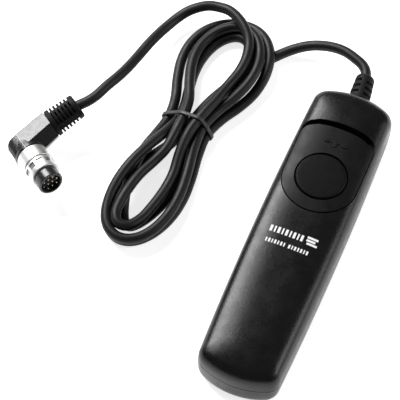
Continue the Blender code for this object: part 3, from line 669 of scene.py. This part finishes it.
# The mark above the button: a small arrow between two bars, moulded 0.3 mm proud of the panel in the
# same plastic. It points the way the lock slides.
MARKS = (((-0.5, 31.9), (0.5, 31.9), (0.5, 33.2), (1.5, 33.2), (0.0, 34.9), (-1.5, 33.2), (-0.5, 33.2)),
         ((-3.8, 32.7), (-2.2, 32.7), (-2.2, 33.9), (-3.8, 33.9)),
         ((2.2, 32.7), (3.8, 32.7), (3.8, 33.9), (2.2, 33.9)))
mark_mesh = bmesh.new()
for outline in MARKS:
    face = mark_mesh.faces.new([mark_mesh.verts.new((px * MM, py * MM, 0.0176)) for px, py in outline])
    raised = bmesh.ops.extrude_face_region(mark_mesh, geom=[face])["geom"]
    lifted = [g for g in raised if isinstance(g, bmesh.types.BMVert)]
    bmesh.ops.translate(mark_mesh, verts=lifted, vec=(0, 0, 0.00098))
mark = new_piece("lock_mark", mark_mesh, panel_look, "lock_slider")
mark_edge = mark.modifiers.new("edges", "BEVEL")
mark_edge.width = 0.00012
mark_edge.segments = 2

# The button: a hollow cap of matt black plastic with a faint dome and a soft rim. It is moulded in
# one piece with the stem that guides it and presses the leaf.
button_look = finish_look("satin_button", (0.0008, 0.0008, 0.001), (0.005, 0.005, 0.0056), (0.40, 0.54),
                          3000.0, 0.0001, patch=70.0, specular=0.1)
profile = [(0, 18.62)]
for i in range(1, 9):
    profile.append((7.6 * i / 8, 18.62 - 0.18 * (i / 8) ** 2))
for i in range(1, 7):
    angle = math.radians(90 * i / 6)
    profile.append((7.6 + 0.7 * math.sin(angle), 17.74 + 0.7 * math.cos(angle)))
profile += [(8.3, 15.7), (6.8, 15.7), (6.8, 17.0), (2.2, 17.0), (2.2, 10.6), (0.9, 9.0), (0, 9.0)]
button = new_piece("button_cap", turn(profile, 96, at(0, BUTTON_Y)), button_look, "release_button",
                   "release_button", smooth=40.0)

# The handset's boot: soft rubber, moulded on the cord and held in the shells' mouth by its flange. It
# tapers, and three short slots on each side of a plain spine let it bend.
BOOT_LEAN = math.radians(5.5)
boot_look = finish_look("boot_rubber", (0.004, 0.004, 0.0046), (0.0075, 0.0075, 0.0085), (0.52, 0.68),
                        3000.0, 0.00005, patch=80.0, specular=0.16)
boot_place = at(0, 54.8) @ Matrix.Rotation(BOOT_LEAN, 4, "Z") @ lengthwise(0, 52.1 - 54.8, 9.0)
profile = [(0, 0), (3.9, 0), (3.9, 1.2), (2.9, 1.2), (2.9, 4.4), (3.55, 4.4), (3.6, 5.2), (3.5, 8.0),
           (3.3, 10.6), (3.15, 12.8)]
for i in range(1, 6):
    angle = math.radians(90 * i / 5)
    profile.append((2.25 + 0.9 * math.cos(angle), 12.8 + 1.3 * math.sin(angle)))
profile += [(1.9, 14.3), (0, 14.3)]
boot = new_piece("handset_strain_relief", turn(profile, 64, boot_place), boot_look, "handset",
                 "handset_boot")
tools = []
for side in (-1, 1):
    for number in range(3):
        low = 5.5 + number * 2.35 + (0.65 if side < 0 else 0.0)
        slot = bmesh.new()
        bmesh.ops.create_cube(slot, size=1.0)
        bmesh.ops.scale(slot, verts=slot.verts, vec=(3.4 * MM, 9.0 * MM, 0.95 * MM))
        bmesh.ops.translate(slot, verts=slot.verts, vec=(side * 2.5 * MM, 0, (low + 0.5) * MM))
        bmesh.ops.transform(slot, matrix=boot_place, verts=slot.verts)
        tools.append(carve(boot, f"cut_slot_{side}_{number}", slot))
settle(boot, tools, 0.00012)

# The plug: a right-angle one of moulded black plastic, with a nickel-plated barrel. It is modelled in
# its own frame, +X out of the barrel and +Y out of the boot, which is then swung, raised and tilted.
PLUG_SWING = math.radians(-39.0)
PLUG_RISE = math.radians(-14.0)
PLUG_TILT = math.radians(17.0)
PLUG = at(-95.4, 0.3, 5.3) @ Matrix.Rotation(PLUG_SWING, 4, "Z")
PLUG = PLUG @ Matrix.Rotation(PLUG_RISE, 4, "Y") @ Matrix.Rotation(PLUG_TILT, 4, "X")
ALONG_BOOT = PLUG @ Matrix.Rotation(math.radians(-90), 4, "X")
OUT = PLUG @ Matrix.Rotation(math.radians(90), 4, "Y")
PLUG_TURN = tuple(PLUG.inverted().to_euler())
plug_look = finish_look("plug_shell", (0.008, 0.008, 0.009), (0.013, 0.013, 0.0145), (0.22, 0.32),
                        3200.0, 0.00006, patch=70.0, specular=0.6)


def six_sided(centre_x, apothem, corner, height):
    """A ring of the housing: six flats with round corners, one flat facing up and back."""
    points = []
    reach = apothem / math.cos(math.radians(30)) - corner / math.cos(math.radians(30))
    for k in range(6):
        heading = 55 + 60 * k
        mid = (centre_x + reach * math.cos(math.radians(heading)), reach * math.sin(math.radians(heading)))
        points += arc(mid[0], mid[1], corner, heading - 30, heading + 30, 4)
    return [Vector((px, height, pz)) * MM for px, pz in points]


# The housing: a moulded six-sided elbow whose back slopes towards the barrel. Half of the barrel's
# round outlet is on it, and half on the cap.
elbow = [six_sided(1.5, 4.95, 0.5, -1.0), six_sided(1.4, 4.95, 0.5, 0.0), six_sided(1.1, 4.9, 0.5, 3.0),
         six_sided(0.5, 4.8, 0.5, 7.0), six_sided(0.0, 4.65, 0.5, 11.1)]
housing = new_piece("plug_elbow", rings_body(elbow, PLUG), plug_look, "handset", "plug_housing")
OUTLET = [(0, 0.6), (5.0, 0.6), (5.0, 3.0), (5.25, 4.6), (5.3, 5.95), (0, 5.95)]


def room(y0, y1):
    """A block of space between two heights of the plug, for keeping what lies in it."""
    bm = bmesh.new()
    bmesh.ops.create_cube(bm, size=1.0)
    bmesh.ops.scale(bm, verts=bm.verts, vec=(0.03, (y1 - y0) * MM, 0.03))
    bmesh.ops.translate(bm, verts=bm.verts, vec=(0, (y0 + y1) / 2 * MM, 0))
    bmesh.ops.transform(bm, matrix=PLUG, verts=bm.verts)
    return bm


tools = [carve(housing, "add_outlet", turn(OUTLET, 72, OUT), "UNION"),
         carve(housing, "keep_upper", room(0.02, 15.0), "INTERSECT")]
settle(housing, tools, 0.00005, 2)

# The cap: closes the elbow's foot in the same plastic, pressed on, with its end drawn in to a soft
# point. It carries the other half of the outlet.
closed_end = [six_sided(1.35, 4.95, 0.5, 1.0), six_sided(1.5, 4.9, 0.5, -0.3),
              six_sided(1.6, 4.85, 0.6, -1.8), six_sided(1.75, 4.65, 0.8, -3.1),
              six_sided(2.0, 4.1, 1.1, -4.2), six_sided(2.3, 3.1, 1.3, -4.95)]
cap = new_piece("plug_back_cap", rings_body(closed_end, PLUG), plug_look, "handset", "plug_end_cap")
tools = [carve(cap, "add_outlet_back", turn(OUTLET, 72, OUT), "UNION"),
         carve(cap, "keep_lower", room(-9.0, -0.04), "INTERSECT")]
settle(cap, tools, 0.00005, 2)

# The plug's boot: soft rubber, moulded on the cord against the elbow. Six thin ribs stand on a core
# beyond a plain band, and four spines join them.
BOOT_RIBS = 6
profile = [(0, 11.15), (4.2, 11.15), (4.2, 11.4), (4.75, 11.4), (4.75, 12.9)]
pitch = (21.9 - 11.4 - 2.4) / BOOT_RIBS
for i in range(BOOT_RIBS):
    y = 12.7 + pitch * i
    outer = 4.7 - 0.08 * i
    profile += [(2.9, y), (2.9, y + pitch * 0.46), (outer, y + pitch * 0.46), (outer, y + pitch)]
profile += [(4.2, 21.5), (3.9, 21.9), (0, 21.9)]
plug_boot = new_piece("plug_strain_relief", turn(profile, 64, ALONG_BOOT), boot_look, "handset",
                      "plug_boot")
spine = bmesh.new()
bmesh.ops.create_cube(spine, size=1.0)
bmesh.ops.scale(spine, verts=spine.verts, vec=(1.1 * MM, 9.6 * MM, 8.5 * MM))
bmesh.ops.translate(spine, verts=spine.verts, vec=(0, 17.0 * MM, 0))
spine_2 = spine.copy()
bmesh.ops.transform(spine, matrix=PLUG @ Matrix.Rotation(math.radians(-8), 4, "Y"), verts=spine.verts)
bmesh.ops.transform(spine_2, matrix=PLUG @ Matrix.Rotation(math.radians(82), 4, "Y"), verts=spine_2.verts)
tools = [carve(plug_boot, "add_spine", spine, "UNION"), carve(plug_boot, "add_spine_2", spine_2, "UNION")]
settle(plug_boot, tools, 0.00010)

# The barrel: a plain nickel-plated collar, and the screw ring in front of it, with shallow windows
# between two rims for the fingers. The windows' cut faces get a darker grey nickel, which is painted shade
# for the hollows.
RING_WINDOWS = 10
nickel = finish_look("nickel_plate", (0.76, 0.755, 0.745), (0.84, 0.835, 0.82), (0.40, 0.50), 0.0,
                     0.000002, metal=1.0, turned=PLUG_TURN, lines=6000.0, patch=120.0)
# A darker grey nickel for the ring's window cuts: painted shade in the hollows.
recess_painted_shade = finish_look("nickel_recess_painted_shade", (0.30, 0.30, 0.30), (0.46, 0.46, 0.45), (0.34, 0.5), 2600.0,
                     0.00002, metal=1.0)
profile = [(0, 6.2), (5.0, 6.2), (5.25, 6.45), (5.25, 10.9), (5.05, 11.2), (0, 11.2)]
collar = new_piece("plug_collar", turn(profile, 96, OUT), nickel, "handset", "barrel_collar")
settle(collar, [], 0.00010)
profile = [(3.5, 11.5), (4.85, 11.5), (5.05, 11.7), (5.05, 15.9), (4.7, 16.4), (3.5, 16.4)]
ring = new_piece("screw_ring", turn(profile, 96, OUT), nickel, "lock_ring", "lock_ring")
tools = []
for number in range(RING_WINDOWS):
    window = bmesh.new()
    bmesh.ops.create_cube(window, size=1.0)
    bmesh.ops.scale(window, verts=window.verts, vec=(2.1 * MM, 2.3 * MM, 1.0 * MM))
    bmesh.ops.translate(window, verts=window.verts, vec=(13.5 * MM, 0, 5.15 * MM))
    round_ring = Matrix.Rotation(math.radians(360 / RING_WINDOWS * number + 20), 4, "X")
    bmesh.ops.transform(window, matrix=PLUG @ round_ring, verts=window.verts)
    # Each window's cut faces keep the darker grey nickel: painted shade.
    tools.append(carve(ring, f"cut_window_{number}", window, look=recess_painted_shade))
settle(ring, tools, 0.00010)

# The nose: a turned sleeve of the plug's black plastic with a soft outer edge. It is fixed in the
# barrel and stands round the recessed insert that carries the pins.
profile = [(0, 11.5), (3.4, 11.5), (3.4, 16.7), (4.0, 16.7), (4.2, 16.9), (4.2, 20.0), (3.95, 20.4),
           (3.5, 20.4), (3.4, 20.25), (3.4, 17.1), (0, 17.1)]
nose = new_piece("plug_nose", turn(profile, 80, OUT), plug_look, "handset", "nose_sleeve")
settle(nose, [], 0.00006)

# What carries over from the frame: screws, keeper, spring, clip, board, contacts, leads, insert and
# pins, each in its own metal or plastic.
steel = finish_look("spring_steel", (0.50, 0.50, 0.51), (0.62, 0.62, 0.63), (0.22, 0.38), 2400.0,
                    0.00001, metal=1.0)
zinc = finish_look("zinc_screw", (0.36, 0.36, 0.38), (0.48, 0.48, 0.50), (0.26, 0.44), 2000.0,
                   0.00002, metal=1.0)
brass = finish_look("spring_brass", (0.74, 0.55, 0.24), (0.84, 0.66, 0.34), (0.20, 0.36), 2200.0,
                    0.00001, metal=1.0)
gold = finish_look("gold_pin", (0.55, 0.50, 0.40), (0.72, 0.67, 0.55), (0.12, 0.24), 5000.0,
                   0.000004, metal=1.0)
board_look = finish_look("board_mask", (0.012, 0.085, 0.03), (0.02, 0.14, 0.05), (0.24, 0.4), 1500.0, 0.00003,
                         patch=260.0)
insert = finish_look("dark_insert", (0.008, 0.008, 0.009), (0.014, 0.014, 0.015), (0.4, 0.55), 3000.0,
                     0.00003)
white_pvc = finish_look("white_lead", (0.72, 0.72, 0.70), (0.82, 0.82, 0.80), (0.4, 0.55), 3000.0, 0.00002)
red_pvc = finish_look("red_lead", (0.42, 0.012, 0.01), (0.56, 0.02, 0.016), (0.4, 0.55), 3000.0, 0.00002)
black_pvc = finish_look("black_lead", (0.014, 0.014, 0.015), (0.022, 0.022, 0.024), (0.4, 0.55), 3000.0,
                        0.00002)
LOOKS = {
    "cover_screw": zinc, "keeper_screw": zinc, "board_screw": zinc, "slider_keeper": steel,
    "stem_clip": steel, "button_spring": steel, "circuit_board": board_look, "contact_block": insert,
    "common_leaf": brass, "focus_contact": brass, "release_contact": brass, "cord_tail": cord_look,
    "wire_common": black_pvc, "wire_focus": white_pvc, "wire_release": red_pvc, "pin_carrier": insert,
    "contact_pin": gold}
for name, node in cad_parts.items():
    for start, look in LOOKS.items():
        if name.startswith(start):
            for place in range(max(1, len(node.data.materials))):
                if place < len(node.data.materials):
                    node.material_slots[place].material = look
                else:
                    node.data.materials.append(look)
